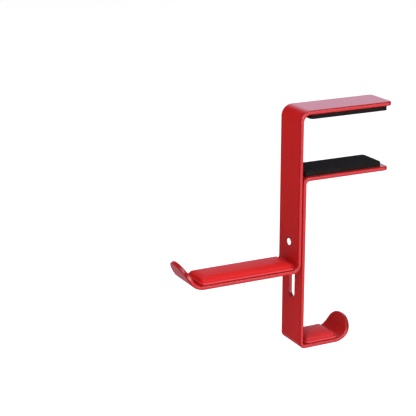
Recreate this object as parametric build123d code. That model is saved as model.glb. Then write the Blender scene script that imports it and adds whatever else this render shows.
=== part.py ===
from build123d import *
import os
from math import cos, radians, sin, tan

# Desk-clamp headphone hook: two bent aluminium strips that slide on each other and pinch a desk top,
# locked by one screw. Millimetres, +Z up, +X over the desk, Y across the strips.
#
# Everything is drawn in a bench frame (front face of the outer bracket at X = 0, underside of the cable
# hook at Z = 0, middle of the strips at Y = 0). save() then moves it so that the origin is the middle of
# the upper clamp pad's underside, which is the face that lies on the desk.

# ---- Driving dimensions ------------------------------------------------------------------------------
# Strips of coated sheet with rounded edges. Bend radii are those of the inner face.
strip_thickness = 2.8
strip_width = 25.0
edge_radius = 0.8
opening_edge_radius = 0.35
arm_corner_radius = 3.0

# Outer bracket: clamp arm over the desk, front plate, headphone arm with its upturned lip
outer_top = 160.0
upper_arm_reach = 68.6
upper_bend_radius = 4.6
headphone_arm_top = 56.0
headphone_arm_flat = 66.9
root_bend_radius = 3.0
arm_lip_angle = 60.0
arm_lip_bend_radius = 8.8
arm_lip_straight = 11.6
arm_lip_round = 12.0

# Inner bracket: clamp arm under the desk, rear plate, cable hook with its round lip
lower_arm_top = 117.0
lower_arm_reach = 67.3
lower_bend_radius = 2.2
hook_corner_radius = 1.4
hook_floor_end = 30.3
hook_lip_angle = 73.0
hook_lip_bend_radius = 9.0
hook_lip_straight = 6.6
hook_lip_round = 11.5

# Clamp screw (M6 button head, 6 long) and washer, the slot that they ride in and the hole that they bite
screw_height = 71.5
screw_radius = 2.95
screw_length = 6.0
screw_tip_chamfer = 0.5
thread_hole_radius = 3.0
head_radius = 5.25
head_top_radius = 2.6
head_height = 3.3
head_bulge_radius = 4.62
head_bulge_height = 1.82
socket_across_flats = 4.0
socket_depth = 2.0
washer_radius = 6.0
washer_hole_radius = 3.2
washer_thickness = 0.8
slot_bottom = 32.8
slot_top = 91.0
slot_width = 7.2

# Foam pads of the clamp, both cut to one size
clamp_pad_length = 57.8
clamp_pad_width = 22.0
clamp_pad_height = 3.2
clamp_pad_corner = 2.5
clamp_pad_round = 0.5
upper_pad_start = 8.4
lower_pad_start = 5.0

# Leather-covered pads of the headphone arm and the cable hook
leather_pad_width = 22.6
leather_pad_height = 4.0
leather_pad_corner = 4.0
leather_pad_round = 2.2
leather_thickness = 0.8
arm_pad_start = -66.9
arm_pad_end = -3.1
hook_pad_start = 7.1
hook_pad_end = 29.8

# Double-sided tape under every pad, and the room left around a foam core
tape_thickness = 0.2
tape_margin = 1.0
core_clearance = 0.05

# ---- Sizes that follow -------------------------------------------------------------------------------
half_thickness = strip_thickness / 2
rear_plate_back = 2 * strip_thickness
upper_arm_underside = outer_top - strip_thickness
washer_back = rear_plate_back + washer_thickness
origin_x = upper_pad_start + clamp_pad_length / 2
origin_z = upper_arm_underside - clamp_pad_height


# ---- Shared shapes -----------------------------------------------------------------------------------
def bent_strip(corners, inner_radii):
    """Sheet bent along the polyline of its middle, whose corners are given as (x, z)."""
    middle = FilletPolyline(*corners, radius=[radius + half_thickness for radius in inner_radii])
    left = offset(middle, half_thickness, side=Side.LEFT, closed=False)
    right = offset(middle, half_thickness, side=Side.RIGHT, closed=False)
    ends = [Line(left @ 0, right @ 1), Line(left @ 1, right @ 0)]
    profile = make_face(left.edges() + right.edges() + ends)
    return extrude(Plane.XZ * profile, strip_width / 2, both=True)


def lip_path(bend_start, direction, floor_middle, bend_radius, angle, straight):
    """Corner and tip of a lip that bends up from a level floor, on the strip's middle, as (x, z)."""
    corner_gap = (bend_radius + half_thickness) * tan(radians(angle / 2))
    reach = corner_gap + straight
    corner_x = bend_start + direction * corner_gap
    tip_x = corner_x + direction * reach * cos(radians(angle))
    return (corner_x, floor_middle), (tip_x, floor_middle + reach * sin(radians(angle)))


def corner_trim(corner_radius):
    """What to cut from a strip that comes from -X and ends at X = 0, to round its two corners."""
    to_end = (Align.MAX, Align.CENTER, Align.CENTER)
    depth = 4 * strip_thickness
    kept = Box(2 * strip_width, strip_width, depth, align=to_end)
    kept = fillet(kept.edges().filter_by(Axis.Z).group_by(Axis.X)[-1], corner_radius)
    return Pos(1, 0, 0) * Box(2 * corner_radius, 2 * strip_width, depth, align=to_end) - kept


def ease_opening(strip, half_width, bottom, top):
    """Rounds the rims of the hole or slot that lies in the middle of a plate between two heights."""
    margin = 2 * opening_edge_radius
    rims = strip.edges().filter_by(Axis.X, reverse=True)
    rims = rims.filter_by_position(Axis.Y, -half_width - margin, half_width + margin)
    rims = rims.filter_by_position(Axis.Z, bottom - margin, top + margin)
    return fillet(rims, opening_edge_radius)


def across_plate(shape):
    """Turns a shape drawn along Z so that it runs along +X at the height of the clamp screw."""
    return Pos(0, 0, screw_height) * Rot(0, 90, 0) * shape


def cylinder_from(start, radius, length):
    """A cylinder that rises from the given height along Z."""
    return Pos(0, 0, start) * Cylinder(radius, length, align=(Align.CENTER, Align.CENTER, Align.MIN))


def pad_block(length, width, height, corner, round_over):
    """A pad with its near end at X = 0 and its underside at Z = 0, its corners and top edge rounded."""
    block = extrude(Pos(length / 2, 0) * RectangleRounded(length, width, corner), height)
    return fillet(block.faces().sort_by(Axis.Z)[-1].edges(), round_over)


def tape(length, width, corner):
    """The tape under a pad of the given size, set back from its edge all round."""
    inner_corner = corner - tape_margin
    outline = RectangleRounded(length - 2 * tape_margin, width - 2 * tape_margin, inner_corner)
    return extrude(Pos(length / 2, 0) * outline, tape_thickness)


def save(shape, name):
    export_step(Pos(-origin_x, 0, -origin_z) * shape, f"parts/{name}.step")


# ---- Brackets ----------------------------------------------------------------------------------------
def outer_bracket():
    top_middle = outer_top - half_thickness
    arm_middle = headphone_arm_top - half_thickness
    lip_corner, lip_tip = lip_path(
        -headphone_arm_flat, -1, arm_middle, arm_lip_bend_radius, arm_lip_angle, arm_lip_straight
    )
    corners = [
        (upper_arm_reach, top_middle),
        (half_thickness, top_middle),
        (half_thickness, arm_middle),
        lip_corner,
        lip_tip,
    ]
    strip = bent_strip(corners, (upper_bend_radius, root_bend_radius, arm_lip_bend_radius))
    strip -= Pos(upper_arm_reach, 0, top_middle) * corner_trim(arm_corner_radius)
    along_lip = Location((lip_tip[0], 0, lip_tip[1]), (0, 180 + arm_lip_angle, 0))
    strip -= along_lip * corner_trim(arm_lip_round)
    strip = fillet(strip.edges(), edge_radius)
    strip -= across_plate(Cylinder(thread_hole_radius, 4 * strip_thickness))
    hole_bottom = screw_height - thread_hole_radius
    return ease_opening(strip, thread_hole_radius, hole_bottom, screw_height + thread_hole_radius)


def inner_bracket():
    plate_middle = strip_thickness + half_thickness
    arm_middle = lower_arm_top - half_thickness
    lip_corner, lip_tip = lip_path(
        hook_floor_end, 1, half_thickness, hook_lip_bend_radius, hook_lip_angle, hook_lip_straight
    )
    corners = [
        (lower_arm_reach, arm_middle),
        (plate_middle, arm_middle),
        (plate_middle, half_thickness),
        lip_corner,
        lip_tip,
    ]
    strip = bent_strip(corners, (lower_bend_radius, hook_corner_radius, hook_lip_bend_radius))
    strip -= Pos(lower_arm_reach, 0, arm_middle) * corner_trim(arm_corner_radius)
    along_lip = Location((lip_tip[0], 0, lip_tip[1]), (0, -hook_lip_angle, 0))
    strip -= along_lip * corner_trim(hook_lip_round)
    strip = fillet(strip.edges(), edge_radius)
    slot = extrude(SlotOverall(slot_top - slot_bottom, slot_width), strip_thickness, both=True)
    strip -= Pos(plate_middle, 0, (slot_bottom + slot_top) / 2) * Rot(0, 90, 0) * slot
    return ease_opening(strip, slot_width / 2, slot_bottom, slot_top)


# ---- Clamp screw and washer --------------------------------------------------------------------------
def clamp_screw():
    shank = cylinder_from(washer_back - screw_length, screw_radius, screw_length)
    shank = chamfer(shank.edges().sort_by(Axis.Z)[0], screw_tip_chamfer)
    dome = Plane.XZ * make_face(
        [
            Line((0, 0), (head_radius, 0)),
            ThreePointArc(
                (head_radius, 0),
                (head_bulge_radius, head_bulge_height),
                (head_top_radius, head_height),
            ),
            Line((head_top_radius, head_height), (0, head_height)),
            Line((0, head_height), (0, 0)),
        ]
    )
    head = Pos(0, 0, washer_back) * revolve(dome, Axis.Z)
    hexagon = RegularPolygon(socket_across_flats / 2, 6, major_radius=False)
    socket = Pos(0, 0, washer_back + head_height - socket_depth) * extrude(hexagon, head_height)
    return across_plate(shank + head - socket)


def washer():
    ring = cylinder_from(rear_plate_back, washer_radius, washer_thickness)
    return across_plate(ring - cylinder_from(0, washer_hole_radius, 4 * strip_thickness))


# ---- Pads --------------------------------------------------------------------------------------------
def save_clamp_pad(place, name):
    """A foam pad and its tape, with the given place at the arm under the pad's near end."""
    foam_height = clamp_pad_height - tape_thickness
    outline = (clamp_pad_length, clamp_pad_width)
    foam = pad_block(*outline, foam_height, clamp_pad_corner, clamp_pad_round)
    save(place * tape(*outline, clamp_pad_corner), f"{name}_pad_tape")
    save(place * Pos(0, 0, tape_thickness) * foam, f"{name}_clamp_pad")


def save_leather_pad(start, end, floor, name):
    """The tape, the foam core and the leather over it, on a level floor of a bracket."""
    length = end - start
    height = leather_pad_height - tape_thickness
    skin = leather_thickness
    outer = pad_block(length, leather_pad_width, height, leather_pad_corner, leather_pad_round)
    hollow = (length - 2 * skin, leather_pad_width - 2 * skin, height - skin)
    corner = leather_pad_corner - skin
    round_over = leather_pad_round - skin
    hollow_block = Pos(skin, 0, 0) * pad_block(*hollow, corner, round_over)
    gap = core_clearance
    core = (hollow[0] - 2 * gap, hollow[1] - 2 * gap, hollow[2] - gap)
    core_block = Pos(skin + gap, 0, 0) * pad_block(*core, corner, round_over)
    on_floor = Pos(start, 0, floor)
    on_tape = Pos(start, 0, floor + tape_thickness)
    save(on_floor * tape(length, leather_pad_width, leather_pad_corner), f"{name}_pad_tape")
    save(on_tape * core_block, f"{name}_pad_foam")
    save(on_tape * (outer - hollow_block), f"{name}_pad_leather")


# ---- Build -------------------------------------------------------------------------------------------
os.makedirs("parts", exist_ok=True)
save(outer_bracket(), "outer_bracket")
save(inner_bracket(), "inner_bracket")
save(clamp_screw(), "clamp_screw")
save(washer(), "washer")
upper_pad_end = upper_pad_start + clamp_pad_length
save_clamp_pad(Location((upper_pad_end, 0, upper_arm_underside), (0, 180, 0)), "upper")
save_clamp_pad(Pos(lower_pad_start, 0, lower_arm_top), "lower")
save_leather_pad(arm_pad_start, arm_pad_end, headphone_arm_top, "headphone")
save_leather_pad(hook_pad_start, hook_pad_end, strip_thickness, "cable")
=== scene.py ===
import math

import bmesh
import bpy
from mathutils import Matrix, Vector, noise


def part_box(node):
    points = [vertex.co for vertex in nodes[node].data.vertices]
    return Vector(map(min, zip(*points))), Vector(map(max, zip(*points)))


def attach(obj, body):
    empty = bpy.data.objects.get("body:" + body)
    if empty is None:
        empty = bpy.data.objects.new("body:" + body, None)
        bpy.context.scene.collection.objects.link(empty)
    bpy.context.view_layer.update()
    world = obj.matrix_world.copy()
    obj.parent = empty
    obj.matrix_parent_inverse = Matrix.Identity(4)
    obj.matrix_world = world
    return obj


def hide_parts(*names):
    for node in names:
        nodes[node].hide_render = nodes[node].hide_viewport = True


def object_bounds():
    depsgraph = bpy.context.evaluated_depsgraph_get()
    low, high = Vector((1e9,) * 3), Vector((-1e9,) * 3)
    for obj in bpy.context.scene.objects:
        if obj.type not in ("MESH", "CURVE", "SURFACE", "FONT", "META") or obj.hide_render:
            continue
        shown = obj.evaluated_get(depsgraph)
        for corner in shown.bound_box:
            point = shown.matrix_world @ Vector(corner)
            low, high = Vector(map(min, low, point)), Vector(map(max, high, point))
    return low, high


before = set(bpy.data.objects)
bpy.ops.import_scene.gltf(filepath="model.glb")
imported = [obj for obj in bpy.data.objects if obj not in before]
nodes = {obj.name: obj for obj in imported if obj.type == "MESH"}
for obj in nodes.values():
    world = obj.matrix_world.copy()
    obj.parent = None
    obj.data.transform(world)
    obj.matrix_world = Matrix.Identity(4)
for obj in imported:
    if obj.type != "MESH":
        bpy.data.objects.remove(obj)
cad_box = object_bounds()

# Looks of the desk-clamp headphone hook. Metres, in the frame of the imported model: +Z up, +X over the desk,
# origin on the underside of the upper clamp pad.

MM = 0.001

# ---- Camera, floor and light -------------------------------------------------------------------------
camera_place = (-0.4617, -0.7261, 0.1961)
camera_tilt = 73.05
camera_turn = -26.75
camera_lens = 118.0
floor_drop = 22 * MM
floor_size = 8.0

# Soft lights: where they stand, what they face, how wide and high they are, and their power in watts
key_light = ((0.25, -1.2, 0.15), (0, 0, -0.08), 0.8, 0.6, 10.6)
left_light = ((-0.3, -0.18, 0.25), (0, 0, -0.05), 0.25, 0.25, 1.0)
top_light = ((0.0, 0.1, 1.1), (0, 0, -0.08), 0.9, 0.9, 4.4)
tip_light = ((-0.45, -0.35, -0.03), (-0.037, 0, -0.0825), 0.2, 0.2, 2.2)

# What is mirrored in the coat: a dark room with four pale areas, each given by its direction, by the
# cosines at which it fades in and is full, and by its strength
room_light = 0.50
room_reflection = 0.02
behind_area = ((0.58, 0.8, 0.15), 0.7, 0.98, 1.25)
right_area = ((0.53, -0.81, -0.25), 0.94, 0.99, 1.5)
low_area = ((-0.04, 0.81, -0.58), 0.87, 0.98, 0.3)
overhead_area = ((0.2, -0.3, 0.9), 0.85, 0.95, 0.6)

# ---- Brackets: how dark the painted shade makes their coat where an edge turns, and the bends that the pads run up ---
painted_edge_shade = 0.6
arm_bend_radius = 8.8 * MM
root_bend_radius = 3.0 * MM
hook_bend_radius = 9.0 * MM

# ---- Leather pads ------------------------------------------------------------------------------------
# From the strip up: a rolled rim, a line pressed into the leather, a shoulder and a shallow crown. The
# painted highlight, a paler colour on the rim, starts and is full at the two distances from the strip's
# middle.
leather_highlight_from = 10.9 * MM
leather_highlight_to = 11.4 * MM
leather_corner = 4.0 * MM
leather_edge_round = 0.5 * MM
leather_edge_lift = 0.6 * MM
leather_tuck = 0.9 * MM
leather_rim_width = 1.5 * MM
leather_rim_height = 1.25 * MM
leather_press_depth = 0.35 * MM
leather_press_width = 0.42 * MM
leather_ripple = 0.05 * MM
leather_ripples_per_metre = 160
arm_pad_shoulder = 3.2 * MM
hook_pad_shoulder = 4.2 * MM
leather_crown = 1.0 * MM
leather_swelling = 0.6 * MM
leather_side_swelling = 0.55 * MM
arm_pad_into_lip = 2.6 * MM
arm_pad_into_root = 2.6 * MM
hook_pad_into_lip = 3.6 * MM
tape_thickness = 0.2 * MM

# ---- Foam pads ---------------------------------------------------------------------------------------
foam_corner = 2.5 * MM
foam_edge_round = 0.5 * MM
foam_waist = 0.12 * MM
foam_waist_steps = 6
foam_unevenness = 0.05 * MM
foam_bumps_per_metre = 190

# ---- Clamp screw: M6 button head ---------------------------------------------------------------------
thread_radius = 2.95 * MM
screw_tip_radius = 2.3 * MM
thread_depth = 0.55 * MM
thread_pitch = 1.0 * MM
thread_lead_in = 0.6 * MM
thread_steps_per_turn = 10
head_height = 3.3 * MM
head_radius = 5.25 * MM
head_flat_radius = 2.75 * MM
socket_across_flats = 4.0 * MM
socket_depth = 2.0 * MM
socket_lead_in = 0.25 * MM
socket_cone = 0.4 * MM
head_underside = 0.2 * MM
dome_steps = 14
turn_steps = 96

# ---- Mesh density ------------------------------------------------------------------------------------
grid_step = 0.5 * MM
corner_steps = 10
ring_count = 22


# ---- Mesh tools --------------------------------------------------------------------------------------
def mix(a, b, share):
    return a + (b - a) * share


def smoothstep(value, low, high):
    t = min(max((value - low) / (high - low), 0.0), 1.0)
    return t * t * (3 - 2 * t)


def roll(value, width):
    """Height of a quarter round that starts at 0 and reaches 1 after the given width."""
    t = min(max(value / width, 0.0), 1.0)
    return math.sqrt(1 - (1 - t) ** 2)


def mesh_object(name, bm, sharp_angle=40):
    """Turns a bmesh into a smooth-shaded object whose edges over the given angle stay sharp."""
    bmesh.ops.recalc_face_normals(bm, faces=bm.faces)
    mesh = bpy.data.meshes.new(name)
    bm.to_mesh(mesh)
    bm.free()
    mesh.polygons.foreach_set("use_smooth", [True] * len(mesh.polygons))
    mesh.set_sharp_from_angle(angle=math.radians(sharp_angle))
    piece = bpy.data.objects.new(name, mesh)
    bpy.context.scene.collection.objects.link(piece)
    return piece


def rounded_ring(length, width, corner, inset, side_steps, end_steps):
    """Outline of a rounded rectangle round the origin, set in from its edge, as a loop of (x, y)."""
    half_x = length / 2 - corner
    half_y = width / 2 - corner
    radius = max(corner - inset, 0.0)
    corners = [(-half_x, -half_y, 180), (half_x, -half_y, 270), (half_x, half_y, 0), (-half_x, half_y, 90)]
    arcs = []
    for corner_x, corner_y, start in corners:
        angles = [math.radians(start + 90 * step / corner_steps) for step in range(corner_steps + 1)]
        arcs.append([(corner_x + radius * math.cos(a), corner_y + radius * math.sin(a)) for a in angles])
    ring = []
    for i, arc in enumerate(arcs):
        ring += arc
        here = arc[-1]
        there = arcs[(i + 1) % 4][0]
        count = side_steps if i % 2 == 0 else end_steps
        for step in range(1, count):
            share = step / count
            ring.append((mix(here[0], there[0], share), mix(here[1], there[1], share)))
    return ring


def add_sheet(bm, length, width, corner, walls, insets, height):
    """One side of a pad: upright rings given as (inset, z), rings set in from the edge, then a grid."""
    side_steps = max(round((length - 2 * corner) / grid_step), 2)
    end_steps = max(round((width - 2 * corner) / grid_step), 2)
    rings = []
    for inset, z in walls:
        outline = rounded_ring(length, width, corner, inset, side_steps, end_steps)
        rings.append([bm.verts.new((x, y, z)) for x, y in outline])
    for inset in insets:
        outline = rounded_ring(length, width, corner, inset, side_steps, end_steps)
        rings.append([bm.verts.new((x, y, height(inset, x, y))) for x, y in outline])
    for outer, inner in zip(rings, rings[1:]):
        for i, corner_vert in enumerate(outer):
            j = (i + 1) % len(outer)
            bm.faces.new((corner_vert, outer[j], inner[j], inner[i]))
    half_x = length / 2 - corner
    half_y = width / 2 - corner
    grid = []
    for row in range(end_steps + 1):
        y = mix(-half_y, half_y, row / end_steps)
        line = []
        for column in range(side_steps + 1):
            x = mix(-half_x, half_x, column / side_steps)
            inset = corner + min(half_x - abs(x), half_y - abs(y))
            line.append(bm.verts.new((x, y, height(inset, x, y))))
        grid.append(line)
    for low_row, high_row in zip(grid, grid[1:]):
        for column in range(side_steps):
            bm.faces.new((low_row[column], low_row[column + 1], high_row[column + 1], high_row[column]))


def pad_bmesh(length, width, corner, walls, top_height, under_height):
    """A closed pad round the origin: its underside, its upright walls and its top."""
    bm = bmesh.new()
    top_insets = [corner * (i / ring_count) ** 1.4 for i in range(ring_count + 1)]
    under_insets = [corner * i / ring_count for i in range(ring_count + 1)]
    add_sheet(bm, length, width, corner, walls, top_insets, top_height)
    add_sheet(bm, length, width, corner, [], under_insets, under_height)
    bmesh.ops.remove_doubles(bm, verts=bm.verts, dist=0.002 * MM)
    return bm


def use(piece, body, material, slot_name, *replaced):
    """Gives a new piece its material, its body and the CAD nodes that it stands for; the slot name is not
    used.
    """
    piece.data.materials.append(material)
    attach(piece, body)
    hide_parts(*replaced)


# ---- Material tools ----------------------------------------------------------------------------------
def new_material(name, roughness=0.5):
    material = bpy.data.materials.new(name)
    material.use_nodes = True
    shader = material.node_tree.nodes["Principled BSDF"]
    shader.inputs["Roughness"].default_value = roughness
    return material, material.node_tree, shader


def add(tree, kind, values=None, **settings):
    """A node with its settings, its input values and its input links by name."""
    node = tree.nodes.new(kind)
    for name, value in settings.items():
        setattr(node, name, value)
    for name, value in (values or {}).items():
        if isinstance(value, bpy.types.NodeSocket):
            tree.links.new(value, node.inputs[name])
        else:
            node.inputs[name].default_value = value
    return node


def object_coords(tree):
    return add(tree, "ShaderNodeTexCoord").outputs["Object"]


def noise_value(tree, coords, scale, detail=3.0, rough=0.55):
    values = {"Vector": coords, "Scale": scale, "Detail": detail, "Roughness": rough}
    return add(tree, "ShaderNodeTexNoise", values).outputs["Fac"]


def map_range(tree, value, low, high, to_low, to_high):
    values = {"Value": value, "From Min": low, "From Max": high, "To Min": to_low, "To Max": to_high}
    return add(tree, "ShaderNodeMapRange", values, interpolation_type="SMOOTHSTEP").outputs["Result"]


def math_node(tree, operation, first, second=0.0):
    return add(tree, "ShaderNodeMath", {0: first, 1: second}, operation=operation).outputs["Value"]


def mix_colour(tree, share, first, second, blend="MIX"):
    values = {0: share, 6: first, 7: second}
    return add(tree, "ShaderNodeMix", values, data_type="RGBA", blend_type=blend).outputs[2]


def mix_value(tree, share, first, second):
    return add(tree, "ShaderNodeMix", {0: share, 2: first, 3: second}, data_type="FLOAT").outputs[0]


def bump(tree, height, strength, distance, normal=None):
    values = {"Height": height, "Strength": strength, "Distance": distance}
    if normal is not None:
        values["Normal"] = normal
    return add(tree, "ShaderNodeBump", values).outputs["Normal"]


def size_of_y(tree, vector):
    """How far a vector reaches to either side along Y."""
    split = add(tree, "ShaderNodeSeparateXYZ", {"Vector": vector})
    return math_node(tree, "ABSOLUTE", split.outputs["Y"])


def edge_shade_share(tree):
    """Share of the surface where a strip's face rolls over into its side, which gets a painted shade: neither
    flat face nor side.
    """
    sideways = size_of_y(tree, add(tree, "ShaderNodeTexCoord").outputs["Normal"])
    rise = map_range(tree, sideways, 0.08, 0.35, 0, painted_edge_shade)
    fall = map_range(tree, sideways, 0.90, 0.985, 1, 0)
    return math_node(tree, "MULTIPLY", rise, fall)


def connect(tree, shader, **sockets):
    for name, value in sockets.items():
        tree.links.new(value, shader.inputs[name.replace("_", " ")])


# ---- Materials ---------------------------------------------------------------------------------------
def red_coat():
    """Satin powder coat: fine orange peel, faint mottling, and a painted shade line where each strip edge
    turns.
    """
    material, tree, shader = new_material("red_coat")
    coords = object_coords(tree)
    mottle = noise_value(tree, coords, 90, 4)
    colour = mix_colour(tree, mottle, (0.38, 0.007, 0.007, 1), (0.41, 0.008, 0.008, 1))
    speckle = map_range(tree, noise_value(tree, coords, 2600, 1), 0.55, 0.75, 0, 0.06)
    colour = mix_colour(tree, speckle, colour, (0.62, 0.045, 0.04, 1))
    # painted shade: a darker colour along the rounded strip edges
    colour = mix_colour(tree, edge_shade_share(tree), colour, (0.13, 0.001, 0.0015, 1))
    peel = noise_value(tree, coords, 1500, 2)
    gloss = map_range(tree, noise_value(tree, coords, 320, 4), 0.3, 0.7, 0.20, 0.26)
    normal = bump(tree, peel, 0.3, 0.012 * MM)
    connect(tree, shader, Base_Color=colour, Roughness=gloss, Normal=normal)
    shader.inputs["Specular IOR Level"].default_value = 0.4
    return material


def red_leather(name, painted_sheen):
    """Fine pebbled leather cloth: pebbles between darker creases, under a paler painted sheen of the given
    share, with a painted highlight on the rim.
    """
    material, tree, shader = new_material(name)
    coords = object_coords(tree)
    drift = add(tree, "ShaderNodeTexNoise", {"Vector": coords, "Scale": 700.0, "Detail": 2.0})
    moved = mix_colour(tree, 0.0006, coords, drift.outputs["Color"], "LINEAR_LIGHT")
    cells = add(tree, "ShaderNodeTexVoronoi", {"Vector": moved, "Scale": 1150.0}, feature="DISTANCE_TO_EDGE")
    pebble = map_range(tree, cells.outputs["Distance"], 0.0, 0.22, 0, 1)
    tone = noise_value(tree, coords, 130, 4)
    colour = mix_colour(tree, tone, (0.48, 0.010, 0.011, 1), (0.59, 0.016, 0.017, 1))
    colour = mix_colour(tree, pebble, (0.425, 0.008, 0.008, 1), colour)
    # painted sheen: a share of paler, pinker red mixed over the whole leather
    colour = mix_colour(tree, painted_sheen, colour, (0.50, 0.10, 0.13, 1))
    # painted highlight: a paler, pinker colour on the leather's rim along both long sides
    edge = map_range(tree, size_of_y(tree, coords), leather_highlight_from, leather_highlight_to, 0, 0.4)
    colour = mix_colour(tree, edge, colour, (0.72, 0.08, 0.10, 1))
    fine = noise_value(tree, coords, 4200, 3)
    gloss = map_range(tree, fine, 0.3, 0.7, 0.42, 0.54)
    normal = bump(tree, pebble, 0.35, 0.05 * MM)
    normal = bump(tree, fine, 0.25, 0.02 * MM, normal)
    connect(tree, shader, Base_Color=colour, Roughness=gloss, Normal=normal)
    shader.inputs["Specular IOR Level"].default_value = 0.11
    return material


def black_foam():
    """Closed-cell foam rubber: matt black with open pinholes and a slightly dusty surface."""
    material, tree, shader = new_material("black_foam")
    coords = object_coords(tree)
    cells = add(tree, "ShaderNodeTexVoronoi", {"Vector": coords, "Scale": 2300.0}, feature="F1")
    pit = map_range(tree, cells.outputs["Distance"], 0.12, 0.42, 0, 1)
    dust = noise_value(tree, coords, 180, 5, 0.65)
    colour = mix_colour(tree, dust, (0.0075, 0.0054, 0.0050, 1), (0.0170, 0.0125, 0.0115, 1))
    colour = mix_colour(tree, pit, (0.002, 0.002, 0.002, 1), colour)
    fine = noise_value(tree, coords, 5200, 2)
    rough = map_range(tree, fine, 0.3, 0.7, 0.72, 0.92)
    normal = bump(tree, pit, 0.55, 0.07 * MM)
    normal = bump(tree, fine, 0.3, 0.03 * MM, normal)
    connect(tree, shader, Base_Color=colour, Roughness=rough, Normal=normal)
    shader.inputs["Specular IOR Level"].default_value = 0.04
    return material


def turned_steel(name, axis_height, thread_end):
    """Zinc-plated steel with turning marks round the screw's axis, a thread darkened as painted shade, and a
    pale tip.
    """
    material, tree, shader = new_material(name)
    coords = object_coords(tree)
    centred = add(tree, "ShaderNodeMapping", {"Vector": coords, "Location": (0.0, 0.0, -axis_height)})
    rings = add(
        tree,
        "ShaderNodeTexWave",
        {"Vector": centred.outputs["Vector"], "Scale": 1900.0, "Distortion": 1.2, "Detail": 3.0},
        wave_type="RINGS",
        rings_direction="X",
    ).outputs["Fac"]
    tarnish = noise_value(tree, coords, 420, 5, 0.6)
    colour = mix_colour(tree, tarnish, (0.88, 0.89, 0.90, 1), (0.96, 0.96, 0.95, 1))
    along = add(tree, "ShaderNodeSeparateXYZ", {"Vector": coords}).outputs["X"]
    flat = {0: centred.outputs["Vector"], 1: (0, 1, 1)}
    across = add(tree, "ShaderNodeVectorMath", flat, operation="MULTIPLY").outputs["Vector"]
    off_axis = add(tree, "ShaderNodeVectorMath", {0: across}, operation="LENGTH").outputs["Value"]
    outside_tip = map_range(tree, off_axis, screw_tip_radius - 0.1 * MM, screw_tip_radius + 0.1 * MM, 0, 1)
    past_thread = map_range(tree, along, thread_end - 0.1 * MM, thread_end, 0, 1)
    colour = mix_colour(tree, past_thread, colour, (0.66, 0.67, 0.68, 1))
    before_head = math_node(tree, "SUBTRACT", 1.0, past_thread)
    # painted shade: the thread outside the tip is coloured near black
    thread_shade = math_node(tree, "MULTIPLY", outside_tip, before_head)
    colour = mix_colour(tree, thread_shade, colour, (0.05, 0.035, 0.03, 1))
    rough = map_range(tree, tarnish, 0.3, 0.7, 0.30, 0.46)
    bare_metal = map_range(tree, along, thread_end - 0.1 * MM, thread_end, 0.1, 0.7)
    normal = bump(tree, rings, 0.15, 0.02 * MM)
    connect(tree, shader, Base_Color=colour, Roughness=rough, Metallic=bare_metal, Normal=normal)
    return material


def mounting_tape():
    """Double-sided tape: milky film with small trapped air marks."""
    material, tree, shader = new_material("tape")
    coords = object_coords(tree)
    air = map_range(tree, noise_value(tree, coords, 900, 4), 0.52, 0.62, 0, 1)
    colour = mix_colour(tree, air, (0.60, 0.58, 0.53, 1), (0.76, 0.75, 0.72, 1))
    rough = map_range(tree, noise_value(tree, coords, 2200, 2), 0.3, 0.7, 0.35, 0.55)
    connect(tree, shader, Base_Color=colour, Roughness=rough, Normal=bump(tree, air, 0.2, 0.02 * MM))
    return material


def floor_paint():
    material, tree, shader = new_material("floor_paint", roughness=0.9)
    tone = noise_value(tree, object_coords(tree), 3, 2)
    connect(tree, shader, Base_Color=mix_colour(tree, tone, (0.86, 0.86, 0.86, 1), (0.9, 0.9, 0.9, 1)))
    shader.inputs["Emission Color"].default_value = (1, 1, 1, 1)
    shader.inputs["Emission Strength"].default_value = 0.52
    return material


# ---- Leather pads ------------------------------------------------------------------------------------
def leather_top(length, width, total, shoulder_run):
    """Height of the leather over the strip: rolled rim, pressed line, shoulder, then a shallow crown."""
    shoulder = total - leather_rim_height - leather_crown

    def height(inset, x, y):
        rim = mix(leather_edge_lift, leather_rim_height, roll(inset, leather_edge_round))
        off_line = (inset - leather_rim_width) / leather_press_width
        pressed = leather_press_depth * math.exp(-off_line * off_line)
        raised = shoulder * roll(inset - leather_rim_width, shoulder_run)
        across = 1 - (2 * y / width) ** 2
        along = 1 - (2 * x / length) ** 8
        swelling = leather_crown * across * along * smoothstep(inset, leather_rim_width, 2 * shoulder_run)
        place = (x * leather_ripples_per_metre, y * leather_ripples_per_metre, 7.0)
        ripple = leather_ripple * noise.noise(place) * smoothstep(inset, 0, leather_corner)
        return rim - pressed * roll(inset, leather_edge_round) + raised + swelling + ripple

    return height


def leather_under(inset, x, y):
    """The leather's edge stands a little clear of the strip, is tucked under, and lies on the tape."""
    tucked = leather_edge_lift * (1 - roll(inset, leather_tuck))
    return tucked + tape_thickness * smoothstep(inset, 0.7 * leather_tuck, 1.2 * leather_tuck)


def curl(bm, start, direction, radius):
    """Bends what lies beyond start up round the inside of the strip's bend."""
    for vert in bm.verts:
        along = (vert.co.x - start) * direction
        if along > 0:
            angle = along / radius
            reach = radius - vert.co.z
            vert.co.x = start + direction * reach * math.sin(angle)
            vert.co.z = radius - reach * math.cos(angle)


def ride_up(bm, start, radius, total):
    """Lifts what lies beyond start onto a tight bend, the most at its underside and little at its top."""
    for vert in bm.verts:
        along = min(vert.co.x - start, 0.98 * radius)
        if along > 0:
            rise = radius - math.sqrt(radius * radius - along * along)
            vert.co.z += rise * (1 - vert.co.z / total)


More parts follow.
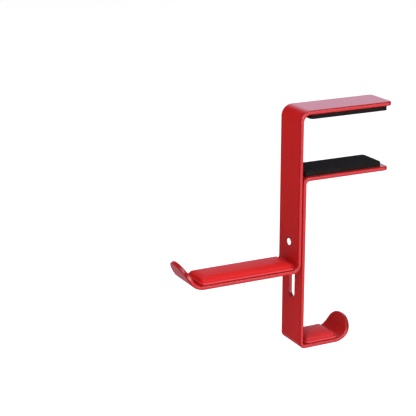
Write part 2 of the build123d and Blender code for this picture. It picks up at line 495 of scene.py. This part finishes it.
def leather_pad(name, node_prefix, body, low_run, high_run, shoulder_run, bend_ends, material):
    """The visible pad over one strip floor, run on by the given lengths at its low and high X ends."""
    low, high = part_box(f"{node_prefix}_leather")
    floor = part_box(f"{node_prefix}_tape")[0].z
    length = high.x - low.x + low_run + high_run
    width = high.y - low.y + 2 * leather_side_swelling
    total = high.z - floor + leather_swelling
    top = leather_top(length, width, total, shoulder_run)
    bm = pad_bmesh(length, width, leather_corner, [], top, leather_under)
    middle = (low.x + high.x - low_run + high_run) / 2
    bmesh.ops.translate(bm, verts=bm.verts, vec=(middle, 0, 0))
    bend_ends(bm, low.x, high.x, total)
    bmesh.ops.translate(bm, verts=bm.verts, vec=(0, 0, floor))
    piece = mesh_object(name, bm, 60)
    use(piece, body, material, "red_leather", f"{node_prefix}_leather", f"{node_prefix}_foam")
    return piece


def bend_arm_pad(bm, low_x, high_x, total):
    curl(bm, low_x, -1, arm_bend_radius)
    ride_up(bm, high_x, root_bend_radius, total)


def bend_hook_pad(bm, low_x, high_x, total):
    curl(bm, high_x, 1, hook_bend_radius)


# ---- Foam pads ---------------------------------------------------------------------------------------
def foam_pad(name, node, body, faces_up, material):
    """A cut foam block with softly rounded top edges and very slightly hollow sides."""
    low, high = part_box(node)
    length = high.x - low.x
    width = high.y - low.y
    depth = high.z - low.z

    def top(inset, x, y):
        edge = depth - foam_edge_round * (1 - roll(inset, foam_edge_round))
        place = (x * foam_bumps_per_metre, y * foam_bumps_per_metre, 3.0)
        unevenness = foam_unevenness * (noise.noise(place) - 0.6)
        return edge + unevenness * smoothstep(inset, 0, 2 * MM)

    wall_top = depth - foam_edge_round
    walls = []
    for step in range(foam_waist_steps):
        share = step / foam_waist_steps
        walls.append((foam_waist * math.sin(math.pi * share), wall_top * share))
    bm = pad_bmesh(length, width, foam_corner, walls, top, lambda inset, x, y: 0.0)
    middle = Vector(((low.x + high.x) / 2, 0, low.z if faces_up else high.z))
    turn = Matrix.Identity(4) if faces_up else Matrix.Rotation(math.pi, 4, "X")
    bmesh.ops.transform(bm, matrix=Matrix.Translation(middle) @ turn, verts=bm.verts)
    piece = mesh_object(name, bm, 50)
    use(piece, body, material, "black_foam", node)
    return piece


# ---- Clamp screw -------------------------------------------------------------------------------------
def hexagon_reach(angle):
    """Distance from the axis to the wall of the hex socket in the given direction."""
    sixth = math.pi / 3
    return socket_across_flats / 2 / math.cos((angle % sixth) - sixth / 2)


def screw_profile(length):
    """The screw from its tip to the bottom of its socket: a list of (place along it, radius function)."""
    shank = length - head_height
    steps = round(shank / thread_pitch * thread_steps_per_turn)

    def thread(along):
        taper = min(along / thread_lead_in, 1.0)

        def radius(angle):
            turn = (along / thread_pitch - angle / (2 * math.pi)) % 1
            ridge = 1 - abs(2 * turn - 1)
            return thread_radius - thread_depth * (1 - min(1.25 * ridge, 1.0) * taper)

        return radius

    def round_at(value):
        return lambda angle: value

    profile = [(0.0, round_at(0.0)), (0.0, round_at(0.5 * screw_tip_radius))]
    profile += [(shank * step / steps, thread(shank * step / steps)) for step in range(steps + 1)]
    profile.append((shank, round_at(head_radius - head_underside)))
    for step in range(dome_steps + 1):
        angle = math.pi / 2 * step / dome_steps
        out = head_flat_radius + (head_radius - head_flat_radius) * math.cos(angle)
        rise = head_underside + (head_height - head_underside) * math.sin(angle)
        profile.append((shank + rise, round_at(out)))
    profile.append((length, lambda angle: hexagon_reach(angle) + socket_lead_in))
    profile.append((length - socket_lead_in, hexagon_reach))
    profile.append((length - socket_depth, hexagon_reach))
    profile.append((length - socket_depth - socket_cone, round_at(0.0)))
    return profile


def clamp_screw(material):
    low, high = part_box("clamp_screw")
    axis_z = (low.z + high.z) / 2
    bm = bmesh.new()
    rings = []
    for along, radius in screw_profile(high.x - low.x):
        ring = []
        for step in range(turn_steps):
            angle = 2 * math.pi * step / turn_steps
            out = radius(angle)
            place = (low.x + along, out * math.cos(angle), axis_z + out * math.sin(angle))
            ring.append(bm.verts.new(place))
        rings.append(ring)
    for first, second in zip(rings, rings[1:]):
        for i in range(turn_steps):
            j = (i + 1) % turn_steps
            bm.faces.new((first[i], first[j], second[j], second[i]))
    bmesh.ops.remove_doubles(bm, verts=bm.verts, dist=0.001 * MM)
    piece = mesh_object("clamp_screw_threaded", bm, 35)
    use(piece, "screw", material, "screw_steel", "clamp_screw")
    return piece


# ---- CAD nodes that keep their shape -----------------------------------------------------------------
def repaint(node_name, material):
    mesh = nodes[node_name].data
    mesh.materials.clear()
    mesh.materials.append(material)


# ---- Studio ------------------------------------------------------------------------------------------
def floor():
    low = cad_box[0]
    bpy.ops.mesh.primitive_plane_add(size=floor_size, location=(0, 0, low.z - floor_drop))
    plane = bpy.context.object
    plane.name = "studio_floor"
    plane.data.materials.append(floor_paint())
    plane.visible_glossy = False


def soft_box(name, place, target, width, height, power):
    light = bpy.data.lights.new(name, "AREA")
    light.shape = "RECTANGLE"
    light.size = width
    light.size_y = height
    light.energy = power
    lamp = bpy.data.objects.new(name, light)
    bpy.context.scene.collection.objects.link(lamp)
    lamp.location = place
    lamp.rotation_euler = (Vector(target) - Vector(place)).to_track_quat("-Z", "Y").to_euler()
    return lamp


def light_only(lamp, piece):
    """Keeps a lamp's light on one piece, so that it leaves the pieces around it as they are."""
    lit = bpy.data.collections.new(f"{lamp.name}_lit")
    lit.objects.link(piece)
    lamp.light_linking.receiver_collection = lit


def studio_world():
    """Even light on matt surfaces, a dark room with pale areas in reflections, and white to the camera."""
    world = bpy.data.worlds.new("studio")
    world.use_nodes = True
    tree = world.node_tree
    background = tree.nodes["Background"]
    rays = add(tree, "ShaderNodeLightPath").outputs
    direction = add(tree, "ShaderNodeTexCoord").outputs["Generated"]

    def pale_area(towards, low, high, strength):
        values = {0: direction, 1: Vector(towards).normalized()}
        facing = add(tree, "ShaderNodeVectorMath", values, operation="DOT_PRODUCT").outputs["Value"]
        return map_range(tree, facing, low, high, 0, strength)

    mirrored = room_reflection
    for area in (behind_area, right_area, low_area, overhead_area):
        mirrored = math_node(tree, "ADD", mirrored, pale_area(*area))
    strength = mix_value(tree, rays["Is Glossy Ray"], room_light, mirrored)
    strength = mix_value(tree, rays["Is Camera Ray"], strength, 1.0)
    tint = mix_colour(tree, rays["Is Glossy Ray"], (1.0, 0.985, 0.99, 1), (0.74, 0.88, 1.12, 1))
    tree.links.new(strength, background.inputs["Strength"])
    tree.links.new(tint, background.inputs["Color"])
    bpy.context.scene.world = world


def camera():
    lens = bpy.data.cameras.new("camera")
    lens.lens = camera_lens
    lens.sensor_width = 36
    lens.clip_start = 0.01
    lens.clip_end = 20
    eye = bpy.data.objects.new("camera", lens)
    eye.location = camera_place
    eye.rotation_euler = (math.radians(camera_tilt), 0, math.radians(camera_turn))
    bpy.context.scene.collection.objects.link(eye)
    bpy.context.scene.camera = eye


# ---- Build -------------------------------------------------------------------------------------------
coat = red_coat()
foam = black_foam()
screw_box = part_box("clamp_screw")
screw_axis_z = (screw_box[0].z + screw_box[1].z) / 2
thread_end_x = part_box("washer")[0].x
screw_steel = turned_steel("screw_steel", screw_axis_z, thread_end_x)
washer_steel = turned_steel("washer_steel", screw_axis_z, thread_end_x)
tape = mounting_tape()

repaint("outer_bracket", coat)
repaint("inner_bracket", coat)
repaint("washer", washer_steel)
for tape_node in ("upper_pad_tape", "lower_pad_tape", "headphone_pad_tape", "cable_pad_tape"):
    repaint(tape_node, tape)

arm_form = (arm_pad_into_lip, arm_pad_into_root, arm_pad_shoulder, bend_arm_pad)
hook_form = (0.0, hook_pad_into_lip, hook_pad_shoulder, bend_hook_pad)
arm_leather = red_leather("red_leather", 0.0)
# the hook pad's leather gets a paler colour as a painted sheen
hook_leather = red_leather("red_leather_painted_sheen", 0.12)
leather_pad("headphone_pad_cover", "headphone_pad", "outer", *arm_form, arm_leather)
leather_pad("cable_pad_cover", "cable_pad", "inner", *hook_form, hook_leather)
foam_pad("upper_foam_pad", "upper_clamp_pad", "outer", False, foam)
foam_pad("lower_foam_pad", "lower_clamp_pad", "inner", True, foam)
screw = clamp_screw(screw_steel)

floor()
studio_world()
soft_box("key", *key_light)
soft_box("left", *left_light)
soft_box("top", *top_light)
light_only(soft_box("tip", *tip_light), screw)
camera()
bpy.context.scene.view_settings.view_transform = "Standard"
